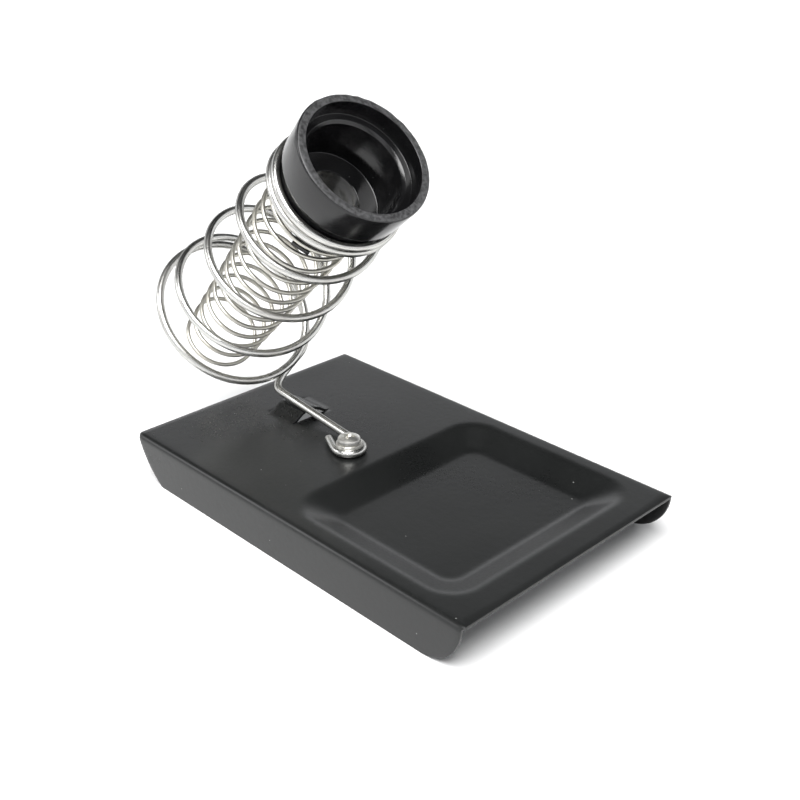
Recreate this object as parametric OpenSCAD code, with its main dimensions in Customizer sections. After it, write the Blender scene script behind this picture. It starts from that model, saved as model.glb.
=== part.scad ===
// Soldering iron stand: a pressed steel base with a cleaning tray, a conical
// wire coil that leans over it on one bent leg, and a moulded socket cup with
// an inner guard coil that takes the hot end of the iron.
// Millimetres, +Z up. X runs from the coil (back) to the tray (front).

/* [Base] */
// Length of the base plate along X
base_l = 155; // [150:1:170]
// Width of the base over both flanges
base_w = 99; // [96:1:110]
// Height of the plate's top face over the table
base_h = 16.6; // [15:0.1:20]
// Thickness of the sheet steel
sheet = 1; // [0.8:0.1:1.2]
// Outer radius of the two long bends
bend_r = 2; // [1.8:0.1:3]
// Radius of the rounded front end of each flange
flange_front_r = 15.5; // [12:0.5:15.5]
// Radius of the bowed back end of each flange
flange_back_r = 30; // [25:1:60]
// How far the bowed back end runs forward at the table
flange_back_run = 12.5; // [8:0.5:16]
// How far both flange ends stand back from the plate's ends
flange_inset = 0.8; // [0.4:0.1:1.5]

/* [Tray] */
// Length of the tray recess at the plate's top face
tray_l = 70.8; // [60:0.2:74]
// Width of the tray recess at the plate's top face
tray_w = 85; // [70:1:88]
// Middle of the tray in front of the middle of the base
tray_x = 32; // [28:0.5:36]
// Depth of the tray
tray_depth = 4.5; // [3:0.5:6]
// How far the sloping tray wall runs inwards
tray_run = 10; // [5:0.5:11]
// Corner radius of the tray floor
tray_floor_r = 3.2; // [2:0.2:6]

/* [Lanced bridge] */
// Width of the raised strap along X
bridge_w = 13; // [8:0.5:16]
// Length of the raised strap along Y
bridge_l = 17.5; // [14:0.5:22]
// Height of the strap's crest over the plate
bridge_rise = 3.05; // [2:0.05:3.1]
// Middle of the strap behind the middle of the base
bridge_x = -51.5; // [-53:0.5:-48]
// Sideways place of the strap's middle
bridge_y = 2.25; // [0:0.25:3]
// Length of the strap's level crest
bridge_crest = 8; // [6:0.5:10]

/* [Holder coil] */
// Diameter of the holder's spring wire
wire_d = 2.8; // [2.4:0.1:2.8]
// Lean of the coil's axis from the vertical, in degrees
lean = 46; // [40:1:48]
// Sideways set of the coil's axis, in degrees
yaw = -2; // [-3:0.5:3]
// Place along X where the leg bends up into the first turn
heel_x = -64.3; // [-66:0.1:-63]
// Height of the wire's middle over the plate at that bend
heel_z = 6.7; // [6.5:0.1:8]
// Radius of the first turn, to the middle of the wire
coil_r_low = 30; // [28:0.5:32]
// Radius of the turns that grip the cup, to the middle of the wire
coil_r_grip = 21.2; // [21.2:0.1:21.6]
// Number of turns from the leg to the cut end at the cup
coil_turns = 6.35; // [6:0.05:6.45]
// Pitch of the closed turns at both ends
pitch_closed = 3; // [3:0.1:3.1]
// Pitch of the open turns between them
pitch_open = 23.8; // [23.6:0.1:23.9]

/* [Leg and eye] */
// Place of the clamp screw along X
screw_x = -16; // [-17:0.5:-15]
// Place of the clamp screw along Y
screw_y = -5.2; // [-5.4:0.1:-4.6]
// Radius of the wire eye round the screw, to the middle of the wire
eye_r = 5.2; // [5:0.1:5.4]
// How far the eye turns round the screw, in degrees
eye_turn = 208; // [190:1:215]
// Length of the straight tail after the eye
eye_tail = 8.5; // [4:0.5:9]

/* [Guard coil] */
// Diameter of the guard coil's wire
guard_d = 1.5; // [1.2:0.1:1.6]
// Radius of the guard coil under the cup, to the middle of the wire
guard_r_top = 17.5; // [17.4:0.1:17.8]
// Radius of the second turn, where the cone begins
guard_r_cone = 16.3; // [15:0.1:16.5]
// Radius of the guard coil's last turn
guard_r_low = 12.6; // [11:0.1:14]
// Mean pitch of the guard coil's open turns
guard_pitch = 7.7; // [7.5:0.1:7.8]
// How far its turns stray from an even pitch along the axis
guard_stray = 1.85; // [1.5:0.05:2]
// Number of turns from the cup to the free end
guard_turns = 13.25; // [11:0.05:13.4]
// How far the guard coil bows up from the axis near the cup
guard_bow = 1.2; // [0:0.1:1.5]
// How far its free end droops below the axis
guard_droop = 1.8; // [0:0.1:2]

/* [Socket cup] */
// Outer diameter of the cup's rim
cup_d = 45; // [44:0.1:46]
// Outer diameter of the collar's lower lip
cup_lip_d = 43.2; // [42:0.1:44]
// Diameter of the wide recess inside the rim
recess_d = 39; // [38:0.5:39.5]
// Depth of the wide recess
recess_depth = 6.4; // [5:0.1:7]
// Diameter of the bore that takes the nose of the iron's handle
bore_d = 32.8; // [30:0.1:33]
// Diameter of the hole in the cup's floor that takes the iron's barrel
hole_d = 19; // [16:0.5:20]
// Height of the collar over the neck
collar_h = 13; // [12.5:0.1:13]
// Height of the whole cup without its lugs
cup_h = 25.3; // [25.2:0.1:25.5]

/* [Clamp screw] */
// Diameter of the screw's shank
screw_d = 3.9; // [3.9:0.05:3.95]
// Diameter of the screw's head
head_d = 8; // [7.5:0.1:8.5]
// Height of the screw's head
head_h = 2.6; // [2.4:0.1:3.1]

/* [Hidden] */

$fn = 64;
wire_r = wire_d / 2;
guard_wire_r = guard_d / 2;
eps = 0.01;

// Hardware
eye_z = wire_r + 0.05;
washer_z = 2.8;
washer_h = 0.8;
washer_d = 9;
washer_bore = 4.3;
head_z = washer_z + washer_h;
lock_h = 1;
lock_d = 7.6;
lock_bore = 4.1;
lock_gap = 12;
nut_h = 3.2;
nut_flats = 7;
nut_bore = 4;
screw_hole = 4.5;
screw_end = -sheet - lock_h - nut_h - 1.2;

// Axis of the coils and the cup: it leans towards the tray
axis_dir = [sin(lean) * cos(yaw), sin(lean) * sin(yaw), cos(lean)];
side_dir = unit([0, 1, 0] - axis_dir * axis_dir[1]);
down_dir = cross(side_dir, axis_dir);
heel = [heel_x, screw_y + eye_r, heel_z];
axis_foot = heel - coil_r_low * down_dir;

// Distances along that axis, from the foot of the coil
open_from = 0.84;
open_to = 4.24;
open_blend = 0.64;
grip_turn = 4.93;
taper_power = 1.25;
cup_top = 106.5;
cup_bottom = cup_top - cup_h;
lip_s = cup_top - collar_h;
neck_r = coil_r_grip - wire_r - 0.2;
bead_r = neck_r + 0.5;
bead_top = cup_bottom + 2.2;
floor_h = 2.4;
guide_r = 11.3;
guide_len = 8.5;
chamfer_w = 1;
guard_top = cup_bottom - 2.2;
guard_closed = 1.6;
guard_hold = 0.55;
guard_start = 288;
lug_w = 6.4;
lug_in = 14.9;
lug_out = 16.3;
hook_len = 6.7;
hook_out = 18;
hook_h = 1.55;
hook_angles = [-55, 85];
stop_len = 3;
stop_angle = 195;

// Rings and sides of the swept wires
coil_rings = 34;
coil_sides = 10;
guard_rings = 26;
guard_sides = 8;
bend_steps = 6;

// Shift that puts the origin under the middle of the whole object
holder_pts = holder_path();
x_back = min([for (p = holder_pts) p[0]]) - wire_r;
shift = [-(x_back + base_l / 2) / 2, 0, base_h];

function unit(v) = v / norm(v);
function mix(a, b, u) = a * (1 - u) + b * u;

// Smooth step from 0 to 1, and the area under it
function smooth(x) = x * x * (3 - 2 * x);
function ramp(x) = x <= 0 ? 0 : x >= 1 ? x - 0.5 : pow(x, 3) - pow(x, 4) / 2;

// Point at distance s up the axis, radius r and turn angle a
function on_axis(s, r, a) =
    axis_foot + s * axis_dir + r * (cos(a) * down_dir + sin(a) * side_dir);

// Holder coil: closed at the foot, open in the middle, closed round the cup
function coil_rise(t) = pitch_closed * t + (pitch_open - pitch_closed) * open_blend
    * (ramp((t - open_from) / open_blend) - ramp((t - open_to) / open_blend));
function coil_radius(t) = coil_r_grip + (coil_r_low - coil_r_grip)
    * pow(1 - min(t / grip_turn, 1), taper_power);
function coil_point(t) = on_axis(coil_rise(t), coil_radius(t), 360 * t);

// Points of a quadratic curve that rounds a bend from a to c over corner b
function rounded(a, b, c, n) =
    [for (i = [0:n]) let (u = i / n) mix(mix(a, b, u), mix(b, c, u), u)];

// Tail, eye, leg, heel bend and coil as one line from end to end
function holder_path() = let (
    eye = [screw_x, screw_y, eye_z],
    a_end = 90 - eye_turn,
    tail_from = eye + eye_r * [cos(a_end), sin(a_end), 0],
    tail_dir = [sin(a_end), -cos(a_end), 0],
    leg_start = eye + [0, eye_r, 0],
    kink = leg_start + [-5, 0, 0],
    leg_dir = unit(heel - kink),
    n_coil = ceil(coil_turns * coil_rings)
) concat(
    [for (i = [3:-1:1]) tail_from + tail_dir * eye_tail * i / 3],
    [for (i = [0:16]) let (a = mix(a_end, 90, i / 16)) eye + eye_r * [cos(a), sin(a), 0]],
    rounded(kink + [3, 0, 0], kink, kink + 3 * leg_dir, 3),
    [for (i = [1:7]) mix(kink + 3 * leg_dir, heel - 5 * leg_dir, i / 8)],
    rounded(heel - 4 * leg_dir, heel, coil_point(4 / coil_rings), bend_steps),
    [for (i = [5:n_coil]) coil_point(coil_turns * i / n_coil)]
);

// Guard coil: one closed turn under the cup, then an open cone down to its end
function guard_rise(t) = guard_top - guard_closed * min(t, 1) - guard_pitch * ramp(t - guard_hold)
    - guard_stray * sin(360 * max(t - 1, 0) / (guard_turns - 1));
function guard_radius(t) = t < 1 ? guard_r_top
    : t < 2 ? mix(guard_r_top, guard_r_cone, smooth(t - 1))
    : mix(guard_r_cone, guard_r_low, (t - 2) / (guard_turns - 2));
function guard_offset(t) = t < 1 ? 0
    : t < 2 ? -guard_bow * smooth(t - 1)
    : mix(-guard_bow, guard_droop, (t - 2) / (guard_turns - 2));
function guard_path() = let (n = ceil(guard_turns * guard_rings))
    [for (i = [0:n]) let (t = guard_turns * i / n)
        on_axis(guard_rise(t), guard_radius(t), guard_start - 360 * t)
            + guard_offset(t) * down_dir];

// Direction of a path at point i
function heading(p, i) = unit(p[min(i + 1, len(p) - 1)] - p[max(i - 1, 0)]);

// Round wire along a path: rings of points square to the path, closed at both ends
module wire(path, r, sides) {
    n = len(path);
    rings = [for (i = [0:n - 1])
        let (t = heading(path, i), u = unit(cross(t, axis_dir)), v = cross(u, t))
        for (k = [0:sides - 1]) let (a = 360 * k / sides)
            path[i] + r * (cos(a) * u + sin(a) * v)];
    walls = [for (i = [0:n - 2]) for (k = [0:sides - 1])
        let (a = i * sides + k, b = i * sides + (k + 1) % sides)
        each [[a, b, b + sides], [a, b + sides, a + sides]]];
    start_cap = [[for (k = [sides - 1:-1:0]) k]];
    end_cap = [[for (k = [0:sides - 1]) (n - 1) * sides + k]];
    polyhedron(rings, concat(walls, start_cap, end_cap), convexity = 10);
}

// Moves its children from the coil's axis frame to the base frame
module along_axis(s = 0) {
    p = axis_foot + s * axis_dir;
    multmatrix([
        [down_dir[0], side_dir[0], axis_dir[0], p[0]],
        [down_dir[1], side_dir[1], axis_dir[1], p[1]],
        [down_dir[2], side_dir[2], axis_dir[2], p[2]],
        [0, 0, 0, 1]
    ]) children();
}

module disc_ring(d, bore, h) {
    difference() {
        cylinder(d = d, h = h);
        translate([0, 0, -eps]) cylinder(d = bore, h = h + 2 * eps);
    }
}

// Cross-section of the channel: a plate with a flange bent down on each side
module channel_outline() {
    w = base_w / 2;
    difference() {
        union() {
            translate([-w, -base_h]) square([base_w, base_h - bend_r]);
            translate([bend_r - w, -bend_r - eps]) square([base_w - 2 * bend_r, bend_r + eps]);
            for (s = [-1, 1]) translate([s * (w - bend_r), -bend_r]) circle(bend_r);
        }
        union() {
            translate([sheet - w, -base_h - 1]) square([base_w - 2 * sheet, base_h + 1 - bend_r]);
            translate([bend_r - w, -bend_r - eps])
                square([base_w - 2 * bend_r, bend_r - sheet + eps]);
            for (s = [-1, 1]) translate([s * (w - bend_r), -bend_r]) circle(bend_r - sheet);
        }
    }
}

// Side view of the base: flanges rounded in front and bowed at the back
module side_outline() {
    half = base_l / 2;
    drop = base_h - flange_front_r;
    low = [-half + flange_back_run, -base_h];
    high = [-half + flange_inset, -drop];
    front_x = half - flange_inset - flange_front_r;
    middle = (low + high) / 2;
    reach = sqrt(pow(flange_back_r, 2) - pow(norm(low - high) / 2, 2));
    chord = (low - high) / norm(low - high);
    translate([-half, -drop]) square([base_l, drop]);
    translate([low[0], -base_h]) square([front_x - low[0], base_h - drop / 2]);
    intersection() {
        translate([front_x, -drop]) circle(flange_front_r, $fn = 128);
        translate([front_x - 1, -base_h]) square([flange_front_r + 1, flange_front_r + eps]);
    }
    intersection() {
        translate(middle + reach * [-chord[1], chord[0]]) circle(flange_back_r, $fn = 128);
        translate([-half, -base_h]) square([flange_back_run + 1, flange_front_r + eps]);
    }
}

// Tapered block with round corners, open upwards: the shape of the tray's hollow
module tray_block(grow, extra) {
    slope = tray_run / tray_depth;
    h = tray_depth + extra;
    floor_x = tray_l / 2 - tray_run + grow;
    floor_y = tray_w / 2 - tray_run + grow;
    top_x = floor_x + slope * h;
    top_y = floor_y + slope * h;
    cx = floor_x - tray_floor_r;
    cy = floor_y - tray_floor_r;
    for (x = [-cx, cx], y = [-cy, cy]) translate([x, y, -tray_depth])
        cylinder(r1 = tray_floor_r, r2 = tray_floor_r + slope * h, h = h, $fn = 96);
    translate([0, cy, -tray_depth]) rotate([90, 0, 0]) linear_extrude(2 * cy)
        polygon([[-floor_x, 0], [floor_x, 0], [top_x, h], [-top_x, h]]);
    translate([-cx, 0, -tray_depth]) rotate([90, 0, 90]) linear_extrude(2 * cx)
        polygon([[-floor_y, 0], [floor_y, 0], [top_y, h], [-top_y, h]]);
}

// Strap lanced out of the plate, its ends still joined to it
module bridge_strap() {
    foot = bridge_l / 2;
    crest = bridge_crest / 2;
    translate([-bridge_w / 2, 0, 0]) rotate([90, 0, 90]) linear_extrude(bridge_w)
        polygon([
            [-foot - 1, 0], [-foot, 0], [-crest, bridge_rise], [crest, bridge_rise],
            [foot, 0], [foot + 1, 0], [foot + 1, -sheet], [foot - 0.3, -sheet],
            [crest - 0.3, bridge_rise - sheet], [0.3 - crest, bridge_rise - sheet],
            [0.3 - foot, -sheet], [-foot - 1, -sheet]
        ]);
}

module base_plate() {
    color([0.16, 0.16, 0.17]) translate(shift) {
        difference() {
            union() {
                intersection() {
                    translate([-base_l / 2, 0, 0]) rotate([90, 0, 90])
                        linear_extrude(base_l) channel_outline();
                    translate([0, base_w / 2 + 1, 0]) rotate([90, 0, 0])
                        linear_extrude(base_w + 2) side_outline();
                }
                translate([tray_x, 0, -sheet]) tray_block(0.26, 0);
            }
            translate([tray_x, 0, 0]) tray_block(0, 1);
            translate([bridge_x, bridge_y, -sheet / 2])
                cube([bridge_w + 0.4, bridge_l, sheet + 1], center = true);
            translate([screw_x, screw_y, -sheet - 1]) cylinder(d = screw_hole, h = sheet + 2);
        }
        translate([bridge_x, bridge_y, 0]) bridge_strap();
    }
}

module holder_coil() {
    color([0.78, 0.78, 0.76]) translate(shift) wire(holder_pts, wire_r, coil_sides);
}

module guard_coil() {
    color([0.72, 0.72, 0.70]) translate(shift) wire(guard_path(), guard_wire_r, guard_sides);
}

// Plain lug under the cup, inside the guard coil's first turn
module cup_lug(length) {
    translate([lug_in, -lug_w / 2, -length]) cube([lug_out - lug_in, lug_w, length + 0.5]);
}

// Longer lug with a small outward foot that holds the guard coil's first turn
module cup_hook() {
    cup_lug(hook_len);
    translate([lug_in, -lug_w / 2, -hook_len]) cube([hook_out - lug_in, lug_w, hook_h]);
}

module socket_cup() {
    rim_r = cup_d / 2;
    lip_r = cup_lip_d / 2;
    bore_r = bore_d / 2;
    recess_r = recess_d / 2;
    hole_r = hole_d / 2;
    neck_h = lip_s - cup_bottom;
    bead_h = bead_top - cup_bottom;
    color([0.06, 0.06, 0.065]) translate(shift) along_axis(cup_bottom) {
        rotate_extrude($fn = 128) polygon([
            [hole_r, -guide_len], [guide_r, -guide_len], [guide_r, 0],
            [bead_r - 0.4, 0], [bead_r, 0.4], [bead_r, bead_h - 0.5],
            [neck_r, bead_h], [neck_r, neck_h], [lip_r - 0.5, neck_h], [lip_r, neck_h + 0.5],
            [rim_r, cup_h - 0.6], [rim_r - 0.6, cup_h], [recess_r + 0.3, cup_h],
            [recess_r, cup_h - 0.3], [recess_r, cup_h - recess_depth],
            [bore_r + chamfer_w, cup_h - recess_depth],
            [bore_r, cup_h - recess_depth - chamfer_w],
            [bore_r, floor_h], [hole_r, floor_h]
        ]);
        for (a = hook_angles) rotate([0, 0, a]) cup_hook();
        rotate([0, 0, stop_angle]) cup_lug(stop_len);
    }
}

// Machine screw with a domed head and a cross recess
module clamp_screw() {
    dome_r = head_d / 2;
    slot_w = 1;
    slot_l = 4.6;
    slot_depth = 1.7;
    color([0.75, 0.75, 0.73]) translate(shift) translate([screw_x, screw_y, 0]) {
        difference() {
            translate([0, 0, head_z]) intersection() {
                cylinder(r = dome_r, h = head_h);
                translate([0, 0, head_h - 2 * dome_r]) sphere(2 * dome_r, $fn = 96);
            }
            translate([0, 0, head_z + head_h - slot_depth / 2 + 0.5]) {
                cube([slot_l, slot_w, slot_depth + 1], center = true);
                cube([slot_w, slot_l, slot_depth + 1], center = true);
            }
        }
        translate([0, 0, screw_end]) cylinder(d = screw_d, h = head_z - screw_end + eps);
    }
}

module flat_washer() {
    color([0.80, 0.80, 0.78]) translate(shift) translate([screw_x, screw_y, washer_z])
        disc_ring(washer_d, washer_bore, washer_h);
}

// Spring washer under the plate, cut through at one place
module lock_washer() {
    color([0.60, 0.60, 0.60]) translate(shift) translate([screw_x, screw_y, -sheet - lock_h])
        rotate_extrude(angle = 360 - lock_gap)
            translate([lock_bore / 2, 0]) square([(lock_d - lock_bore) / 2, lock_h]);
}

module hex_nut() {
    color([0.70, 0.70, 0.68]) translate(shift)
        translate([screw_x, screw_y, -sheet - lock_h - nut_h])
        difference() {
            cylinder(r = nut_flats / 2 / cos(30), h = nut_h, $fn = 6);
            translate([0, 0, -1]) cylinder(d = nut_bore, h = nut_h + 2);
        }
}

base_plate();
holder_coil();
guard_coil();
socket_cup();
clamp_screw();
flat_washer();
lock_washer();
hex_nut();
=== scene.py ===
import math

import bmesh
import bpy
import numpy as np
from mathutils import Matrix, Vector


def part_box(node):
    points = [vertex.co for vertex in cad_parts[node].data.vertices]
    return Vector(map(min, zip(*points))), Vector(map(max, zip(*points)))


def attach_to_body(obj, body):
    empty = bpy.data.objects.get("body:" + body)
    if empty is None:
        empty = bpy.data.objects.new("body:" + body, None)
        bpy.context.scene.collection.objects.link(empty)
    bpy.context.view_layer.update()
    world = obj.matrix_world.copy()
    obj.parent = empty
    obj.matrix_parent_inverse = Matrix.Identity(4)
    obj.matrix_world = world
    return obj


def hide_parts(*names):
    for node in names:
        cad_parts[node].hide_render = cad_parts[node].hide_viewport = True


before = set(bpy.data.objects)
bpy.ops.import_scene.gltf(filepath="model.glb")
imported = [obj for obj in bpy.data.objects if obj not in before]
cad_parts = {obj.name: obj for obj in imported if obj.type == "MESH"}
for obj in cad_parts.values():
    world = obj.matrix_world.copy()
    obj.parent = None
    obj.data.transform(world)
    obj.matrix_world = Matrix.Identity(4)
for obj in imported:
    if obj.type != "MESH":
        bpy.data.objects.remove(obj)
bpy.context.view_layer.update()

MM = 0.001

# Base plate, in millimetres, with the plate's top face at height 0
HALF_L = 77.5
HALF_W = 49.5
BASE_H = 16.6
SHEET = 1.0
BEND_R = 2.0
FLANGE_FRONT_R = 15.5
FLANGE_BACK_R = 30.0
FLANGE_BACK_RUN = 12.5
FLANGE_INSET = 0.8
TRAY_X = 32.0
TRAY_HALF = (35.4, 42.5)
TRAY_TOP_R = 10.0
TRAY_FLOOR_R = 4.0
TRAY_DEPTH = 4.5
TRAY_RUN = 10.0
SCREW_HOLE_R = 2.25

# Lanced strap under the holder's leg: its middle, its size and its bends
BRIDGE_X = -51.5
BRIDGE_Y = 2.25
BRIDGE_WIDTH = 13.0
BRIDGE_LENGTH = 17.5
BRIDGE_RISE = 3.05
BRIDGE_CREST = 8.0
BRIDGE_BEND = 0.9
BRIDGE_SLIT = 0.2

# Wires and the leaning axis they share with the cup
WIRE_R = 1.4
LEAN = math.radians(46)
YAW = math.radians(-2)
HEEL = np.array([-64.3, 0.0, 6.7])
COIL_LOW_R = 30.0
COIL_GRIP_R = 21.2
COIL_TURNS = 6.35
PITCH_CLOSED = 3.0
PITCH_OPEN = 23.8
COIL_FIRST = 4 / 34
COIL_OPEN_FROM = 0.84
COIL_OPEN_TO = 4.24
COIL_BLEND = 0.64
COIL_GRIP_TURN = 4.93
COIL_TAPER = 1.25
SCREW = np.array([-16.0, -5.2, 0.0])
EYE_R = 5.2
EYE_TURN = 208.0
EYE_TAIL = 8.5
EYE_Z = 1.45
GUARD_WIRE_R = 0.75
GUARD_TURNS = 13.25
GUARD_TOP_GAP = 2.2
GUARD_LEAD = 1.6
GUARD_PITCH = 7.7
GUARD_STRAY = 1.85
GUARD_RING_R = 17.5
GUARD_TOP_R = 16.3
GUARD_LOW_R = 12.6
GUARD_TOP_OFF = -1.2
GUARD_LOW_OFF = 1.8
GUARD_START = math.radians(288)

# Socket cup, measured up its axis
CUP_TOP = 106.5
CUP_H = 25.3
CUP_BOTTOM = CUP_TOP - CUP_H
CUP_R = 22.5
CUP_FLOOR = 2.4
COLLAR_R = 21.6
COLLAR_LEN = 13
NECK_R = 19.6
BEAD_R = 20.1
RECESS_R = 19.5
RECESS_DEPTH = 6.4
LEDGE_R = 17.4
BORE_R = 16.4
BARREL_R = 9.5
GUIDE_R = 11.3
GUIDE_LEN = 8.5
LUG_HALF_W = 3.2
HOOK_ANGLES = (-55, 85)
STOP_ANGLE = 195

# Clamp hardware
WASHER_Z = 2.8
WASHER_H = 0.8
HEAD_Z = WASHER_Z + WASHER_H
HEAD_H = 2.6
HEAD_DOME_R = 8
LOCK_H = 1.0
NUT_H = 3.2
SCREW_END = -SHEET - LOCK_H - NUT_H - 1.2

base_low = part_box("base_plate")[0]
ORIGIN = np.array([base_low.x / MM + HALF_L, 0.0, BASE_H])

AXIS = np.array([
    math.sin(LEAN) * math.cos(YAW),
    math.sin(LEAN) * math.sin(YAW),
    math.cos(LEAN),
])
SIDE = np.array([0.0, 1.0, 0.0]) - AXIS * AXIS[1]
SIDE = SIDE / np.linalg.norm(SIDE)
DOWN = np.cross(SIDE, AXIS)
AXIS_FOOT = HEEL - COIL_LOW_R * DOWN


# ---------------------------------------------------------------- mesh helpers

def in_frame(points):
    """Points in millimetres on the base, as metres in the shared frame."""
    return (np.asarray(points, float) + ORIGIN) * MM


def make_object(name, points, faces, sharp=35.0, uv=None):
    """A smooth-shaded mesh object with edges kept sharp above an angle."""
    mesh = bpy.data.meshes.new(name)
    mesh.from_pydata([tuple(p) for p in in_frame(points)], [], [tuple(f) for f in faces])
    if uv is not None:
        layer = mesh.uv_layers.new(name="along")
        for loop in mesh.loops:
            layer.data[loop.index].uv = uv[loop.vertex_index]
    mesh.validate()
    mesh.polygons.foreach_set("use_smooth", [True] * len(mesh.polygons))
    mesh.set_sharp_from_angle(angle=math.radians(sharp))
    obj = bpy.data.objects.new(name, mesh)
    bpy.context.scene.collection.objects.link(obj)
    return obj


def clean_mesh(obj, merge=1e-6):
    """Merges doubles and turns the faces outwards."""
    bm = bmesh.new()
    bm.from_mesh(obj.data)
    bmesh.ops.remove_doubles(bm, verts=bm.verts, dist=merge)
    bmesh.ops.dissolve_degenerate(bm, edges=bm.edges, dist=merge)
    bmesh.ops.recalc_face_normals(bm, faces=bm.faces)
    bm.to_mesh(obj.data)
    bm.free()


def apply_modifiers(obj, sharp=35.0):
    """Bakes the modifiers into the mesh and sets the shading again."""
    graph = bpy.context.evaluated_depsgraph_get()
    mesh = bpy.data.meshes.new_from_object(obj.evaluated_get(graph))
    obj.modifiers.clear()
    old = obj.data
    obj.data = mesh
    bpy.data.meshes.remove(old)
    mesh.polygons.foreach_set("use_smooth", [True] * len(mesh.polygons))
    mesh.set_sharp_from_angle(angle=math.radians(sharp))


def attach(obj, body, node, material):
    """Rides on a body, stands for a CAD node and takes its finish."""
    obj.data.materials.clear()
    obj.data.materials.append(material)
    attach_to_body(obj, body)
    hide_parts(node)
    return obj


def grid_faces(rows, cols, start=0, closed=False):
    """Quads of a grid of points, row by row, closed round each row if asked."""
    faces = []
    last = cols if closed else cols - 1
    for i in range(rows - 1):
        for k in range(last):
            a = start + i * cols + k
            b = start + i * cols + (k + 1) % cols
            faces.append((a, b, b + cols, a + cols))
    return faces


def spaced(stops, step):
    """Numbers that pass through each stop, about a step apart."""
    out = [stops[0]]
    for a, b in zip(stops[:-1], stops[1:]):
        n = max(1, round((b - a) / step))
        out += [a + (b - a) * (i + 1) / n for i in range(n)]
    return out


def smooth(x):
    """0 below 0, 1 above 1, and an even step between them."""
    x = min(max(x, 0.0), 1.0)
    return x * x * (3 - 2 * x)


def soft_ramp(x, half):
    """0 below -half, x above half, and a smooth bend between them."""
    if x <= -half:
        return 0.0
    if x >= half:
        return x
    u = (x + half) / (2 * half)
    return 2 * half * (u ** 3 - u ** 4 / 2)


def ramp(x):
    """0 below 0, a slope of 1 above 1, and a smooth bend between them."""
    if x <= 0:
        return 0.0
    if x >= 1:
        return x - 0.5
    return x ** 3 - x ** 4 / 2


# ---------------------------------------------------------------- base plate

def sag(x, y):
    """Slight unevenness of the pressed sheet, never above the plate's top."""
    wave = math.sin(x * 0.055 + 0.7) * math.cos(y * 0.062 - 0.4)
    wave += 0.5 * math.sin(x * 0.021 + y * 0.043 + 1.1)
    edge = smooth((HALF_W - BEND_R - abs(y)) / 14) * smooth((HALF_L - abs(x)) / 10)
    return -0.07 * (1.5 + wave) * edge / 3


def flange_limits(depth):
    """Back and front end of the sheet at a depth under the plate's top."""
    drop = BASE_H - FLANGE_FRONT_R
    inset = FLANGE_INSET * smooth(depth / drop)
    if depth <= drop:
        return -HALF_L + inset, HALF_L - inset
    low = np.array([-HALF_L + FLANGE_BACK_RUN, -BASE_H])
    high = np.array([-HALF_L + FLANGE_INSET, -drop])
    chord = (low - high) / np.linalg.norm(low - high)
    reach = math.sqrt(FLANGE_BACK_R ** 2 - (np.linalg.norm(low - high) / 2) ** 2)
    centre = (low + high) / 2 + reach * np.array([-chord[1], chord[0]])
    back = centre[0] - math.sqrt(FLANGE_BACK_R ** 2 - (-depth - centre[1]) ** 2)
    down = min(depth - drop, FLANGE_FRONT_R)
    front = HALF_L - FLANGE_INSET - FLANGE_FRONT_R + math.sqrt(FLANGE_FRONT_R ** 2 - down ** 2)
    return back, front


def flange_rows():
    """Sideways place and depth of each row, from the plate's edge round the bend and down."""
    rows = []
    for i in range(9):
        a = math.radians(90) * i / 8
        rows.append((HALF_W - BEND_R + BEND_R * math.sin(a), BEND_R * (1 - math.cos(a))))
    drop = BASE_H - FLANGE_FRONT_R
    first = math.asin((BEND_R - drop) / FLANGE_FRONT_R)
    for i in range(1, 21):
        a = first + (math.radians(90) - first) * i / 20
        rows.append((HALF_W, drop + FLANGE_FRONT_R * math.sin(a)))
    return rows


def bridge_height(y):
    """Height of the lanced strap over the plate at a place along it."""
    run = (BRIDGE_LENGTH - BRIDGE_CREST) / 2
    d = BRIDGE_LENGTH / 2 - abs(y - BRIDGE_Y) - BRIDGE_BEND
    return BRIDGE_RISE / run * (soft_ramp(d, BRIDGE_BEND) - soft_ramp(d - run, BRIDGE_BEND))


def rounded_rectangle(loop, half, radius):
    """The loop's points moved to a rounded rectangle, straight sides to straight sides."""
    out = []
    for side, f in loop:
        hx, hy = half[0] - radius, half[1] - radius
        if side == "x+":
            out.append((half[0], f * hy))
        elif side == "x-":
            out.append((-half[0], -f * hy))
        elif side == "y+":
            out.append((-f * hx, half[1]))
        elif side == "y-":
            out.append((f * hx, -half[1]))
        else:
            turn = {"c1": 0, "c2": 90, "c3": 180, "c4": 270}[side]
            a = math.radians(turn + 90 * f)
            cx = hx if turn in (0, 270) else -hx
            cy = hy if turn in (0, 90) else -hy
            out.append((cx + radius * math.cos(a), cy + radius * math.sin(a)))
    return out


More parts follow.
